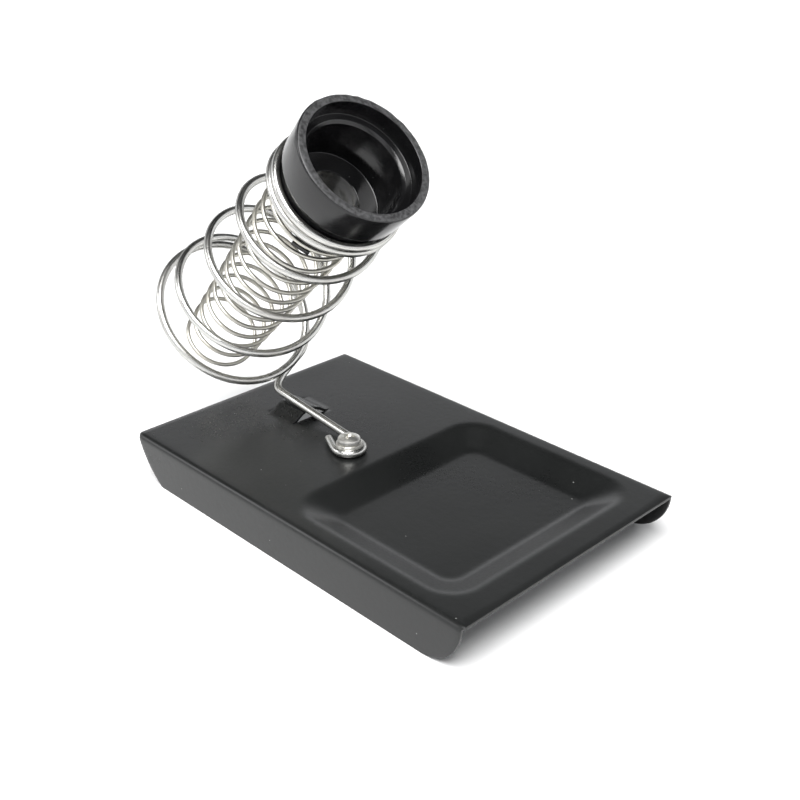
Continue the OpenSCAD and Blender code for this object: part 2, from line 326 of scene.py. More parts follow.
def tray_loop(xs, ys):
    """Border points of the field round the tray, with the place each has on the tray's outline.

    It runs anticlockwise from the middle of the front side.
    """
    x0, x1 = xs[0], xs[-1]
    y0, y1 = ys[0], ys[-1]
    border = [(x1, y) for y in ys[:-1]]
    border += [(x, y1) for x in reversed(xs[1:])]
    border += [(x0, y) for y in reversed(ys[1:])]
    border += [(x, y0) for x in xs[:-1]]
    hx = TRAY_HALF[0] - TRAY_TOP_R
    hy = TRAY_HALF[1] - TRAY_TOP_R
    places = []
    for x, y in border:
        u, v = x - TRAY_X, y
        if abs(v) <= hy and abs(u) > hx:
            places.append(("x+", v / hy) if u > 0 else ("x-", -v / hy))
        elif abs(u) <= hx and abs(v) > hy:
            places.append(("y+", -u / hx) if v > 0 else ("y-", u / hx))
        else:
            quarter = {
                (True, True): "c1", (False, True): "c2",
                (False, False): "c3", (True, False): "c4",
            }
            places.append((quarter[(u > 0, v > 0)], None))
    n = len(places)
    start = next(i for i in range(n) if places[i][1] is not None)
    order = [(start + i) % n for i in range(n)]
    i = 0
    while i < n:
        if places[order[i]][1] is None:
            j = i
            while places[order[j % n]][1] is None and places[order[j % n]][0] == places[order[i]][0]:
                j += 1
            count = j - i
            for k in range(count):
                where = order[i + k]
                places[where] = (places[where][0], (k + 1) / (count + 1))
            i = j
        else:
            i += 1
    return border, places


def tray_field(xs, ys):
    """Sheet from the straight border in to the tray's floor, ring by ring."""
    border, places = tray_loop(xs, ys)
    n = len(border)
    crease = 2.2
    rim_half = (TRAY_HALF[0] + crease, TRAY_HALF[1] + crease)
    outer = [(x + TRAY_X, y) for x, y in rounded_rectangle(places, rim_half, TRAY_TOP_R + crease)]
    rings = []
    for share in (0.0, 0.35, 0.7):
        rings.append([
            (b[0] * (1 - share) + o[0] * share, b[1] * (1 - share) + o[1] * share, 0.0)
            for b, o in zip(border, outer)
        ])
    depths = spaced([-crease, crease, TRAY_RUN - crease, TRAY_RUN + crease], 0.7)
    slope = TRAY_DEPTH / TRAY_RUN
    for d in depths:
        share = (d + crease) / (TRAY_RUN + 2 * crease)
        radius = TRAY_TOP_R + crease - (TRAY_TOP_R + crease - TRAY_FLOOR_R) * share
        half = (TRAY_HALF[0] - d, TRAY_HALF[1] - d)
        z = -slope * (soft_ramp(d, crease) - soft_ramp(d - TRAY_RUN, crease))
        rings.append([(x + TRAY_X, y, z) for x, y in rounded_rectangle(places, half, radius)])
    points = [p for ring in rings for p in ring]
    faces = grid_faces(len(rings), n, closed=True)
    inner = rings[-1]
    half = (TRAY_HALF[0] - depths[-1], TRAY_HALF[1] - depths[-1])
    core_x = sorted({round(p[0], 6) for p, q in zip(inner, places) if q[0] == "y-"})
    core_y = sorted({round(p[1], 6) for p, q in zip(inner, places) if q[0] == "x+"})
    floor_x = [TRAY_X - half[0]] + core_x + [TRAY_X + half[0]]
    floor_y = [-half[1]] + core_y + [half[1]]
    z = inner[0][2]
    start = len(points)
    for y in core_y:
        for x in floor_x:
            points.append((x, y, z))
    faces += grid_faces(len(core_y), len(floor_x), start)
    start = len(points)
    for y in (floor_y[0], core_y[0], core_y[-1], floor_y[-1]):
        for x in core_x:
            points.append((x, y, z))
    w = len(core_x)
    for row in (0, 2):
        for k in range(w - 1):
            a = start + row * w + k
            faces.append((a, a + 1, a + 1 + w, a + w))
    corner_at = {
        "c1": (core_x[-1], core_y[-1]), "c2": (core_x[0], core_y[-1]),
        "c3": (core_x[0], core_y[0]), "c4": (core_x[-1], core_y[0]),
    }
    first_ring = len(rings) * n - n
    for i in range(n):
        k = (i + 1) % n
        names = {places[i][0], places[k][0]}
        corner = [c for c in corner_at if c in names]
        if corner:
            centre = len(points)
            points.append((*corner_at[corner[0]], z))
            faces.append((first_ring + i, first_ring + k, centre))
    return points, faces


def round_hole(xs, ys, centre, radius):
    """Sheet between a square of border points and a round hole."""
    border = [(xs[-1], y) for y in ys[:-1]]
    border += [(x, ys[-1]) for x in reversed(xs[1:])]
    border += [(xs[0], y) for y in reversed(ys[1:])]
    border += [(x, ys[0]) for x in xs[:-1]]
    n = len(border)
    rings = []
    for share in (0.0, 0.3, 0.6, 0.85, 1.0):
        ring = []
        for x, y in border:
            a = math.atan2(y - centre[1], x - centre[0])
            tx, ty = centre[0] + radius * math.cos(a), centre[1] + radius * math.sin(a)
            ring.append((x * (1 - share) + tx * share, y * (1 - share) + ty * share, 0.0))
        rings.append(ring)
    return [p for ring in rings for p in ring], grid_faces(len(rings), n, closed=True)


def base_sheet():
    """Outer face of the pressed sheet: plate, bends, flanges, tray and strap."""
    bx, by, bw, bl = BRIDGE_X, BRIDGE_Y, BRIDGE_WIDTH, BRIDGE_LENGTH
    slit = BRIDGE_SLIT
    hole = 5.0
    edge_y = HALF_W - BEND_R
    split_x = -8.8
    xs_back = spaced([-HALF_L, bx - bw / 2 - slit, bx - bw / 2, bx + bw / 2, bx + bw / 2 + slit,
                      SCREW[0] - hole, SCREW[0] + hole, split_x], 2.0)
    xs_front = spaced([split_x, HALF_L], 2.0)
    ys = spaced([-edge_y, SCREW[1] - hole, by - bl / 2, SCREW[1] + hole, by + bl / 2, edge_y], 1.6)
    xs_all = xs_back + xs_front[1:]
    points = []
    faces = []

    def add(patch):
        start = len(points)
        points.extend(patch[0])
        faces.extend(tuple(start + i for i in f) for f in patch[1])

    def inside(v, a, b):
        return a - 1e-6 <= v <= b + 1e-6

    for x0, x1 in zip(xs_back[:-1], xs_back[1:]):
        for y0, y1 in zip(ys[:-1], ys[1:]):
            along = inside(y0, by - bl / 2, by + bl / 2) and inside(y1, by - bl / 2, by + bl / 2)
            in_slit = along and x1 - x0 < 1.5 * slit
            in_hole = (inside(x0, SCREW[0] - hole, SCREW[0] + hole)
                       and inside(x1, SCREW[0] - hole, SCREW[0] + hole)
                       and inside(y0, SCREW[1] - hole, SCREW[1] + hole)
                       and inside(y1, SCREW[1] - hole, SCREW[1] + hole))
            if in_slit or in_hole:
                continue
            strap = (along and inside(x0, bx - bw / 2, bx + bw / 2)
                     and inside(x1, bx - bw / 2, bx + bw / 2))
            z0 = bridge_height(y0) if strap else 0.0
            z1 = bridge_height(y1) if strap else 0.0
            add(([(x0, y0, z0), (x1, y0, z0), (x1, y1, z1), (x0, y1, z1)], [(0, 1, 2, 3)]))
    hole_x = [x for x in xs_back if inside(x, SCREW[0] - hole, SCREW[0] + hole)]
    hole_y = [y for y in ys if inside(y, SCREW[1] - hole, SCREW[1] + hole)]
    add(round_hole(hole_x, hole_y, SCREW, SCREW_HOLE_R))
    add(tray_field(xs_front, ys))
    for s in (-1, 1):
        patch = []
        for y, depth in flange_rows():
            back, front = flange_limits(depth)
            for x in xs_all:
                u = (x + HALF_L) / (2 * HALF_L)
                patch.append((back + (front - back) * u, s * y, -depth))
        rows = grid_faces(len(flange_rows()), len(xs_all))
        add((patch, rows if s > 0 else [tuple(reversed(f)) for f in rows]))
    shaped = [(x, y, z + (sag(x, y) if z > -TRAY_DEPTH - 0.1 else 0.0)) for x, y, z in points]
    return shaped, faces


def build_base(material):
    points, faces = base_sheet()
    obj = make_object("base_plate_sheet", points, faces)
    clean_mesh(obj, 2e-6)
    bm = bmesh.new()
    bm.from_mesh(obj.data)
    top = max(bm.faces, key=lambda f: f.calc_center_median().z)
    if top.normal.z < 0:
        bmesh.ops.reverse_faces(bm, faces=bm.faces)
    bm.to_mesh(obj.data)
    bm.free()
    thick = obj.modifiers.new("sheet", "SOLIDIFY")
    thick.thickness = SHEET * MM
    thick.offset = -1
    thick.use_even_offset = True
    thick.use_rim = True
    soft = obj.modifiers.new("cut_edges", "BEVEL")
    soft.width = 0.14 * MM
    soft.segments = 2
    soft.limit_method = "ANGLE"
    soft.angle_limit = math.radians(60)
    apply_modifiers(obj, 50)
    return attach(obj, "base", "base_plate", material)


# ---------------------------------------------------------------- wires

def on_axis(s, r, a):
    """Point a distance s up the leaning axis, r out from it, at angle a."""
    return AXIS_FOOT + s * AXIS + r * (math.cos(a) * DOWN + math.sin(a) * SIDE)


def coil_point(t):
    """Middle of the holder's wire after t turns of its coil."""
    rise = PITCH_CLOSED * t + (PITCH_OPEN - PITCH_CLOSED) * COIL_BLEND * (
        ramp((t - COIL_OPEN_FROM) / COIL_BLEND) - ramp((t - COIL_OPEN_TO) / COIL_BLEND))
    taper = (1 - min(t / COIL_GRIP_TURN, 1)) ** COIL_TAPER
    radius = COIL_GRIP_R + (COIL_LOW_R - COIL_GRIP_R) * taper
    return on_axis(rise, radius, 2 * math.pi * t)


def quadratic(a, b, c, n):
    """Curve of n points from a to c, pulled towards b."""
    return [a * (1 - u) ** 2 + 2 * b * u * (1 - u) + c * u * u for u in np.linspace(0, 1, n)]


def holder_line():
    """Tail, eye, leg, heel bend and coil as one line of points."""
    eye = SCREW + np.array([0, 0, EYE_Z])
    end = math.radians(90 - EYE_TURN)
    tail_from = eye + EYE_R * np.array([math.cos(end), math.sin(end), 0])
    tail_dir = np.array([math.sin(end), -math.cos(end), 0])
    kink = eye + np.array([-5, EYE_R, 0])
    leg = (HEEL - kink) / np.linalg.norm(HEEL - kink)
    line = [tail_from + tail_dir * EYE_TAIL * u for u in np.linspace(1, 0, 10)[:-1]]
    line += [eye + EYE_R * np.array([math.cos(a), math.sin(a), 0])
             for a in np.linspace(end, math.radians(90), 44)]
    line += quadratic(kink + np.array([3, 0, 0]), kink, kink + 3 * leg, 7)
    line += list(np.linspace(kink + 3 * leg, HEEL - 4 * leg, 40))[1:-1]
    line += quadratic(HEEL - 4 * leg, HEEL, coil_point(COIL_FIRST), 13)
    line += [coil_point(t) for t in np.linspace(COIL_FIRST, COIL_TURNS, 640)[1:]]
    return np.array(line)


def guard_line():
    """Middle of the guard coil's wire, from the cup down to its free end."""
    top = CUP_BOTTOM - GUARD_TOP_GAP
    line = []
    for t in np.linspace(0, GUARD_TURNS, int(GUARD_TURNS * 72)):
        stray = GUARD_STRAY * math.sin(2 * math.pi * max(t - 1, 0) / (GUARD_TURNS - 1))
        s = top - GUARD_LEAD * min(t, 1) - GUARD_PITCH * ramp(t - 0.55) - stray
        if t < 1:
            r, off = GUARD_RING_R, 0.0
        elif t < 2:
            r = GUARD_RING_R + (GUARD_TOP_R - GUARD_RING_R) * smooth(t - 1)
            off = GUARD_TOP_OFF * smooth(t - 1)
        else:
            u = (t - 2) / (GUARD_TURNS - 2)
            r = GUARD_TOP_R + (GUARD_LOW_R - GUARD_TOP_R) * u
            off = GUARD_TOP_OFF + (GUARD_LOW_OFF - GUARD_TOP_OFF) * u
        line.append(on_axis(s, r, GUARD_START - 2 * math.pi * t) + off * DOWN)
    return np.array(line)


def even_line(line, step, passes=4):
    """The line with evenly spaced points and its joins eased."""
    gaps = np.linalg.norm(np.diff(line, axis=0), axis=1)
    keep = np.concatenate([[True], gaps > 1e-6])
    line = line[keep]
    at = np.concatenate([[0], np.cumsum(np.linalg.norm(np.diff(line, axis=0), axis=1))])
    n = int(round(at[-1] / step))
    want = np.linspace(0, at[-1], n + 1)
    out = np.stack([np.interp(want, at, line[:, k]) for k in range(3)], axis=1)
    for _ in range(passes):
        out[1:-1] = (out[:-2] + 2 * out[1:-1] + out[2:]) / 4
    return out, at[-1]


def build_wire(name, line, radius, sides, step):
    """Round wire swept along a line, its cut ends slightly chamfered."""
    line, length = even_line(line, step)
    n = len(line)
    heads = np.gradient(line, axis=0)
    heads /= np.linalg.norm(heads, axis=1)[:, None]
    u = np.cross(heads[0], [0.3, 0.2, 0.93])
    u /= np.linalg.norm(u)
    points = []
    uv = []
    chamfer = 0.16 * radius

    def ring(centre, a, b, r, place):
        for k in range(sides):
            w = 2 * math.pi * k / sides
            points.append(centre + r * (math.cos(w) * a + math.sin(w) * b))
            uv.append((place * MM, k / sides))

    for i in range(n):
        u = u - heads[i] * (u @ heads[i])
        u /= np.linalg.norm(u)
        v = np.cross(heads[i], u)
        place = length * i / (n - 1)
        if i == 0:
            ring(line[0], u, v, radius * 0.55, place)
            ring(line[0], u, v, radius - chamfer, place)
            ring(line[0] + heads[0] * chamfer, u, v, radius, place)
        elif i == n - 1:
            ring(line[-1] - heads[-1] * chamfer, u, v, radius, place)
            ring(line[-1], u, v, radius - chamfer, place)
            ring(line[-1], u, v, radius * 0.55, place)
        else:
            ring(line[i], u, v, radius, place)
    rows = len(points) // sides
    faces = grid_faces(rows, sides, closed=True)
    for row, centre in ((0, line[0]), (rows - 1, line[-1])):
        tip = len(points)
        points.append(centre)
        uv.append((0.0 if row == 0 else length * MM, 0.5))
        for k in range(sides):
            faces.append((row * sides + k, row * sides + (k + 1) % sides, tip))
    obj = make_object(name, points, faces, 40, uv)
    clean_mesh(obj, 1e-8)
    return obj


# ---------------------------------------------------------------- lathed parts

def rounded_outline(corners, steps=4):
    """Closed outline from (r, z, corner radius), with each corner rounded."""
    out = []
    n = len(corners)
    for i in range(n):
        b = np.array(corners[i][:2], float)
        a = np.array(corners[i - 1][:2], float)
        c = np.array(corners[(i + 1) % n][:2], float)
        radius = corners[i][2]
        to_a = (a - b) / np.linalg.norm(a - b)
        to_c = (c - b) / np.linalg.norm(c - b)
        angle = math.acos(max(-1, min(1, float(to_a @ to_c))))
        if radius <= 0 or angle > math.radians(178):
            out.append(tuple(b))
            continue
        longest = 0.48 * min(np.linalg.norm(a - b), np.linalg.norm(c - b))
        run = min(radius / math.tan(angle / 2), longest)
        for u in np.linspace(0, 1, steps + 1):
            p = (b + to_a * run) * (1 - u) ** 2 + 2 * b * u * (1 - u) + (b + to_c * run) * u * u
            out.append(tuple(p))
    return out


def lathe(outline, sides):
    """Ring of the outline turned about Z: points and faces."""
    points = []
    for r, z in outline:
        for k in range(sides):
            a = 2 * math.pi * k / sides
            points.append((r * math.cos(a), r * math.sin(a), z))
    n = len(outline)
    faces = grid_faces(n, sides, closed=True)
    for k in range(sides):
        a, b = (n - 1) * sides + k, (n - 1) * sides + (k + 1) % sides
        faces.append((a, b, (k + 1) % sides, k))
    return points, faces


def placed(points, origin, x_dir, y_dir, z_dir):
    """Points moved from their own axes to the ones given."""
    return [origin + p[0] * x_dir + p[1] * y_dir + p[2] * z_dir for p in points]


def rounded_block(low, high, radius, turn):
    """Box with rounded edges, turned about Z by an angle."""
    bm = bmesh.new()
    bmesh.ops.create_cube(bm, size=1)
    size = np.array(high) - np.array(low)
    mid = (np.array(high) + np.array(low)) / 2
    for v in bm.verts:
        v.co = Vector(np.array(v.co) * size + mid)
    bmesh.ops.bevel(bm, geom=bm.edges[:], offset=radius, segments=3, profile=0.5, affect="EDGES")
    c, s = math.cos(turn), math.sin(turn)
    points = [(v.co.x * c - v.co.y * s, v.co.x * s + v.co.y * c, v.co.z) for v in bm.verts]
    bm.verts.index_update()
    faces = [tuple(v.index for v in f.verts) for f in bm.faces]
    bm.free()
    return points, faces


def build_cup(material):
    """Moulded cup: collar, neck, stepped bore, lower bead and three lugs."""
    neck_h = CUP_TOP - COLLAR_LEN - CUP_BOTTOM
    ledge_h = CUP_H - RECESS_DEPTH
    outline = rounded_outline([
        (BARREL_R, -GUIDE_LEN, 0.3), (GUIDE_R, -GUIDE_LEN, 0.3), (GUIDE_R, 0.0, 0.3),
        (BEAD_R, 0.0, 0.5), (BEAD_R, 2.2, 0.5), (NECK_R, 2.6, 0.3),
        (NECK_R, neck_h, 0.3), (COLLAR_R, neck_h, 0.55), (CUP_R, CUP_H, 1.0),
        (RECESS_R, CUP_H, 0.35), (RECESS_R, ledge_h, 0.3), (LEDGE_R, ledge_h, 0.25),
        (BORE_R, ledge_h - 1.0, 0.3), (BORE_R, CUP_FLOOR, 0.5), (BARREL_R, CUP_FLOOR, 0.3),
    ])
    points, faces = lathe(outline, 180)
    shaped = []
    for x, y, z in points:
        r, a = math.hypot(x, y), math.atan2(y, x)
        wobble = 0.5 + 0.5 * math.sin(23 * a + 2 * math.sin(7 * a)) * math.sin(5 * a + 1)
        lip = smooth((r - 21.3) / 0.7) * smooth((z - CUP_H + 1.2) / 0.9)
        flash = 0.22 * wobble * lip * smooth(math.cos(a - 2.6) * 1.4)
        shaped.append((x * (1 - flash / max(r, 1)), y * (1 - flash / max(r, 1)), z - 0.3 * flash))
    blocks = []
    for angle in HOOK_ANGLES:
        blocks.append(((14.9, -LUG_HALF_W, -6.65), (16.3, LUG_HALF_W, 0.5), angle))
        blocks.append(((15.1, -LUG_HALF_W, -6.7), (18, LUG_HALF_W, -5.15), angle))
    blocks.append(((14.9, -LUG_HALF_W, -3.0), (16.3, LUG_HALF_W, 0.5), STOP_ANGLE))
    for low, high, angle in blocks:
        more, more_faces = rounded_block(low, high, 0.25, math.radians(angle))
        start = len(shaped)
        shaped += more
        faces += [tuple(start + i for i in f) for f in more_faces]
    at = AXIS_FOOT + CUP_BOTTOM * AXIS
    obj = make_object("socket_cup_moulding", placed(shaped, at, DOWN, SIDE, AXIS), faces, 30)
    clean_mesh(obj, 1e-8)
    # Mask of the rim's top face, which the finish paints a paler grey: partly a duller ground face, partly
    # a painted highlight of the light from above.
    rim = obj.data.attributes.new("rim", "FLOAT", "POINT")
    values = []
    for v in obj.data.vertices:
        p = np.array(v.co) / MM - ORIGIN - at
        up = float(p @ AXIS)
        r = math.hypot(float(p @ DOWN), float(p @ SIDE))
        values.append(smooth((up - CUP_H + 0.35) / 0.3) * smooth((r - 19.4) / 0.5))
    rim.data.foreach_set("value", values)
    return attach(obj, "holder", "socket_cup", material)


def build_screw(material):
    """Pan head screw with a cross recess and a cut thread."""
    pitch, root, crest = 0.7, 1.62, 1.93
    sides = 48
    dome = [(4.0 - 0.02 * i, 0.25 + 0.2 * i) for i in range(6)]
    for i in range(1, 13):
        a = math.radians(30) * (1 - i / 12)
        dome.append((HEAD_DOME_R * math.sin(a), HEAD_H - HEAD_DOME_R + HEAD_DOME_R * math.cos(a)))
    head = [(crest, 0.0), (3.75, 0.0)] + dome[:-1]
    steps = int((HEAD_Z - SCREW_END) / (pitch / 8))
    points = []
    for i in range(steps + 1):
        z = SCREW_END + (HEAD_Z - SCREW_END) * i / steps
        for k in range(sides):
            a = 2 * math.pi * k / sides
            phase = (z / pitch - k / sides) % 1.0
            tooth = 1 - abs(2 * phase - 1)
            fade = smooth((z - SCREW_END) / 0.9)
            r = root - 0.25 * (1 - fade) + (crest - root) * smooth(tooth * 1.3) * fade
            points.append((r * math.cos(a), r * math.sin(a), z))
    rows = steps + 1
    for r, z in head:
        for k in range(sides):
            a = 2 * math.pi * k / sides
            points.append((r * math.cos(a), r * math.sin(a), HEAD_Z + z))
        rows += 1
    faces = grid_faces(rows, sides, closed=True)
    for row, z in ((0, SCREW_END), (rows - 1, HEAD_Z + HEAD_H)):
        tip = len(points)
        points.append((0, 0, z))
        for k in range(sides):
            faces.append((row * sides + k, row * sides + (k + 1) % sides, tip))
    shaft = make_object("clamp_screw_turned", [np.array(p) + SCREW for p in points], faces, 40)
    clean_mesh(shaft, 1e-8)
    cutter = cross_cutter()
    cut = shaft.modifiers.new("recess", "BOOLEAN")
    cut.operation = "DIFFERENCE"
    cut.solver = "EXACT"
    cut.object = cutter
    bpy.context.view_layer.update()
    apply_modifiers(shaft, 35)
    bpy.data.objects.remove(cutter)
    return attach(shaft, "screw", "clamp_screw", material)


def cross_cutter():
    """Tapered cross that cuts the driver's recess."""
    top = HEAD_Z + HEAD_H
    turn = math.radians(28)
    levels = (
        (top + 0.6, 2.5, 0.62), (top, 2.3, 0.55),
        (top - 1.0, 1.75, 0.45), (top - 1.9, 0.5, 0.3),
    )
    points = []
    faces = []
    for z, reach, half in levels:
        ring = [(half, half), (half, reach), (-half, reach), (-half, half),
                (-reach, half), (-reach, -half), (-half, -half), (-half, -reach),
                (half, -reach), (half, -half), (reach, -half), (reach, half)]
        for x, y in ring:
            points.append(SCREW + np.array([x * math.cos(turn) - y * math.sin(turn),
                                            x * math.sin(turn) + y * math.cos(turn), z]))
    faces += grid_faces(len(levels), 12, closed=True)
    faces.append(tuple(range(12)))
    faces.append(tuple(reversed(range(36, 48))))
    obj = make_object("cross_cutter", points, faces)
    clean_mesh(obj, 1e-8)
    return obj


def build_washer(material):
    """Stamped flat washer on top of the wire's eye."""
    outline = rounded_outline([
        (2.15, 0, 0.05), (4.5, 0, 0.05),
        (4.5, WASHER_H, 0.28), (2.15, WASHER_H, 0.12),
    ])
    points, faces = lathe(outline, 96)
    at = SCREW + np.array([0, 0, WASHER_Z])
    obj = make_object("flat_washer_stamped", [np.array(p) + at for p in points], faces, 35)
    clean_mesh(obj, 1e-8)
    return attach(obj, "base", "flat_washer", material)


def build_lock_washer(material):
    """Split spring washer, cut through at a slant."""
    outline = rounded_outline([(2.05, 0, 0.1), (3.8, 0, 0.1), (3.8, LOCK_H, 0.1), (2.05, LOCK_H, 0.1)], 3)
    n = len(outline)
    steps = 80
    points = []
    for i in range(steps + 1):
        a = math.radians(348) * i / steps
        for r, z in outline:
            slant = 0.28 * (z / LOCK_H - 0.5) * (1 if i in (0, steps) else 0)
            b = a + slant / r
            points.append((r * math.cos(b), r * math.sin(b), z))
    faces = grid_faces(steps + 1, n, closed=True)
    faces.append(tuple(range(n)))
    faces.append(tuple(reversed(range(steps * n, steps * n + n))))
    at = SCREW + np.array([0, 0, -SHEET - LOCK_H])
    obj = make_object("lock_washer_split", [np.array(p) + at for p in points], faces, 35)
    clean_mesh(obj, 1e-8)
    return attach(obj, "base", "lock_washer", material)


def build_nut(material):
    """Hexagon nut with its corners chamfered on both sides."""
    bore, flat, sink = 2.0, 3.5, 0.35
    sides = 96
    corner_ring = flat * 0.98
    rings = [[] for _ in range(8)]
    for k in range(sides):
        a = 2 * math.pi * k / sides
        fold = (a + math.pi / 6) % (math.pi / 3) - math.pi / 6
        hexagon = flat / math.cos(fold)
        drop = max(0.0, hexagon - corner_ring) * math.tan(math.radians(30))
        outline = (
            (bore, sink), (bore + sink, 0.0), (corner_ring, 0.0), (hexagon, drop),
            (hexagon, NUT_H - drop), (corner_ring, NUT_H), (bore + sink, NUT_H), (bore, NUT_H - sink),
        )
        for ring, (r, z) in zip(rings, outline):
            ring.append((r * math.cos(a + math.pi / 6), r * math.sin(a + math.pi / 6), z))
    points = [p for ring in rings for p in ring]
    faces = grid_faces(len(rings), sides, closed=True)
    last = (len(rings) - 1) * sides
    for k in range(sides):
        faces.append((last + k, last + (k + 1) % sides, (k + 1) % sides, k))
    at = SCREW + np.array([0, 0, -SHEET - LOCK_H - NUT_H])
    obj = make_object("hex_nut_chamfered", [np.array(p) + at for p in points], faces, 25)
    clean_mesh(obj, 1e-8)
    return attach(obj, "base", "hex_nut", material)


# ---------------------------------------------------------------- materials

def new_material(name):
    """A node material, its tree and its main shader."""
    material = bpy.data.materials.new(name)
    material.use_nodes = True
    tree = material.node_tree
    return material, tree, tree.nodes["Principled BSDF"]


def add_node(tree, kind, **settings):
    """A node with its own settings filled in."""
    node = tree.nodes.new(kind)
    for key, value in settings.items():
        setattr(node, key, value)
    return node


def noise_field(tree, coords, scale, detail=4.0, rough=0.5, stretch=(1, 1, 1)):
    """Noise over the coordinates, stretched along an axis if asked."""
    mapping = add_node(tree, "ShaderNodeMapping")
    mapping.inputs["Scale"].default_value = stretch
    tree.links.new(coords, mapping.inputs["Vector"])
    noise = add_node(tree, "ShaderNodeTexNoise")
    noise.inputs["Scale"].default_value = scale
    noise.inputs["Detail"].default_value = detail
    noise.inputs["Roughness"].default_value = rough
    tree.links.new(mapping.outputs["Vector"], noise.inputs["Vector"])
    return noise.outputs["Fac"]


def remap(tree, value, a, b, c, d):
    """The value taken from the range a to b into the range c to d."""
    node = add_node(tree, "ShaderNodeMapRange")
    node.inputs["From Min"].default_value = a
    node.inputs["From Max"].default_value = b
    node.inputs["To Min"].default_value = c
    node.inputs["To Max"].default_value = d
    tree.links.new(value, node.inputs["Value"])
    return node.outputs["Result"]


def two_colours(tree, factor, first, second):
    """Mix of two colours, each a constant or a link."""
    node = add_node(tree, "ShaderNodeMix", data_type="RGBA")
    for socket, value in ((6, first), (7, second)):
        if isinstance(value, tuple):
            node.inputs[socket].default_value = (*value, 1)
        else:
            tree.links.new(value, node.inputs[socket])
    tree.links.new(factor, node.inputs[0])
    return node.outputs[2]


def maths(tree, operation, a, b):
    """One sum on two values, each a constant or a link."""
    node = add_node(tree, "ShaderNodeMath", operation=operation)
    for i, value in enumerate((a, b)):
        if isinstance(value, (int, float)):
            node.inputs[i].default_value = value
        else:
            tree.links.new(value, node.inputs[i])
    return node.outputs[0]


def bumped(tree, shader, height, strength, distance, before=None):
    """A bump that follows an earlier one and feeds the shader, if they are given."""
    node = add_node(tree, "ShaderNodeBump")
    node.inputs["Strength"].default_value = strength
    node.inputs["Distance"].default_value = distance
    tree.links.new(height, node.inputs["Height"])
    if before is not None:
        tree.links.new(before, node.inputs["Normal"])
    if shader is not None:
        tree.links.new(node.outputs["Normal"], shader.inputs["Normal"])
    return node.outputs["Normal"]


def specks(tree, coords, scale, size, share):
    """Mask of small scattered dots: 1 on a dot and 0 elsewhere."""
    cells = add_node(tree, "ShaderNodeTexVoronoi", feature="F1")
    cells.inputs["Scale"].default_value = scale
    tree.links.new(coords, cells.inputs["Vector"])
    near = remap(tree, cells.outputs["Distance"], size, size * 0.6, 0, 1)
    split = add_node(tree, "ShaderNodeSeparateColor")
    tree.links.new(cells.outputs["Color"], split.inputs[0])
    chosen = maths(tree, "LESS_THAN", split.outputs[0], share)
    return maths(tree, "MULTIPLY", near, chosen)


def black_coat():
    """Satin black powder coat with dust specks and cloudy sheen."""
    material, tree, shader = new_material("black_powder_coat")
    coords = add_node(tree, "ShaderNodeTexCoord").outputs["Object"]
    cloud = noise_field(tree, coords, 14, 3, 0.55)
    grain = noise_field(tree, coords, 1100, 2, 0.5)
    peel = noise_field(tree, coords, 420, 3, 0.55)
    dust = specks(tree, coords, 230, 0.06, 0.2)
    patches = remap(tree, cloud, 0.3, 0.7, 0, 1)
    body = two_colours(tree, patches, (0.0055, 0.006, 0.0059), (0.0095, 0.0102, 0.01))
    colour = two_colours(tree, maths(tree, "MULTIPLY", dust, 0.5), body, (0.42, 0.43, 0.41))
    tree.links.new(colour, shader.inputs["Base Color"])
    sheen = remap(tree, cloud, 0.3, 0.7, 0.27, 0.36)
    fine = remap(tree, grain, 0.3, 0.7, -0.03, 0.03)
    tree.links.new(maths(tree, "ADD", sheen, fine), shader.inputs["Roughness"])
    shader.inputs["Specular IOR Level"].default_value = 0.5
    rough = bumped(tree, None, peel, 0.16, 0.0002)
    bumped(tree, shader, dust, 0.3, 0.0001, rough)
    return material


def plated_wire(name, colour, dull, rough_low, rough_high, around):
    """Bright plated drawn wire: lengthwise die lines, soft tarnish and specks."""
    material, tree, shader = new_material(name)
    source = add_node(tree, "ShaderNodeTexCoord")
    coords = source.outputs["Object"]
    along = source.outputs["UV"]
    lines = noise_field(tree, along, 1.0, 3, 0.6, (60, around, 1))
    cloud = noise_field(tree, coords, 60, 4, 0.6)
    pits = specks(tree, coords, 900, 0.12, 0.05)
    tone = two_colours(tree, remap(tree, cloud, 0.35, 0.7, 0, 1), colour, dull)
    tree.links.new(two_colours(tree, maths(tree, "MULTIPLY", pits, 0.6), tone, (0.16, 0.15, 0.14)),
                   shader.inputs["Base Color"])
    shader.inputs["Metallic"].default_value = 1.0
    shader.inputs["Specular Tint"].default_value = (0.3, 0.3, 0.3, 1)
    rough = remap(tree, cloud, 0.3, 0.7, rough_low, rough_high)
    tree.links.new(maths(tree, "ADD", rough, remap(tree, lines, 0.3, 0.7, -0.04, 0.05)),
                   shader.inputs["Roughness"])
    bumped(tree, shader, lines, 0.1, 0.00005)
    return material


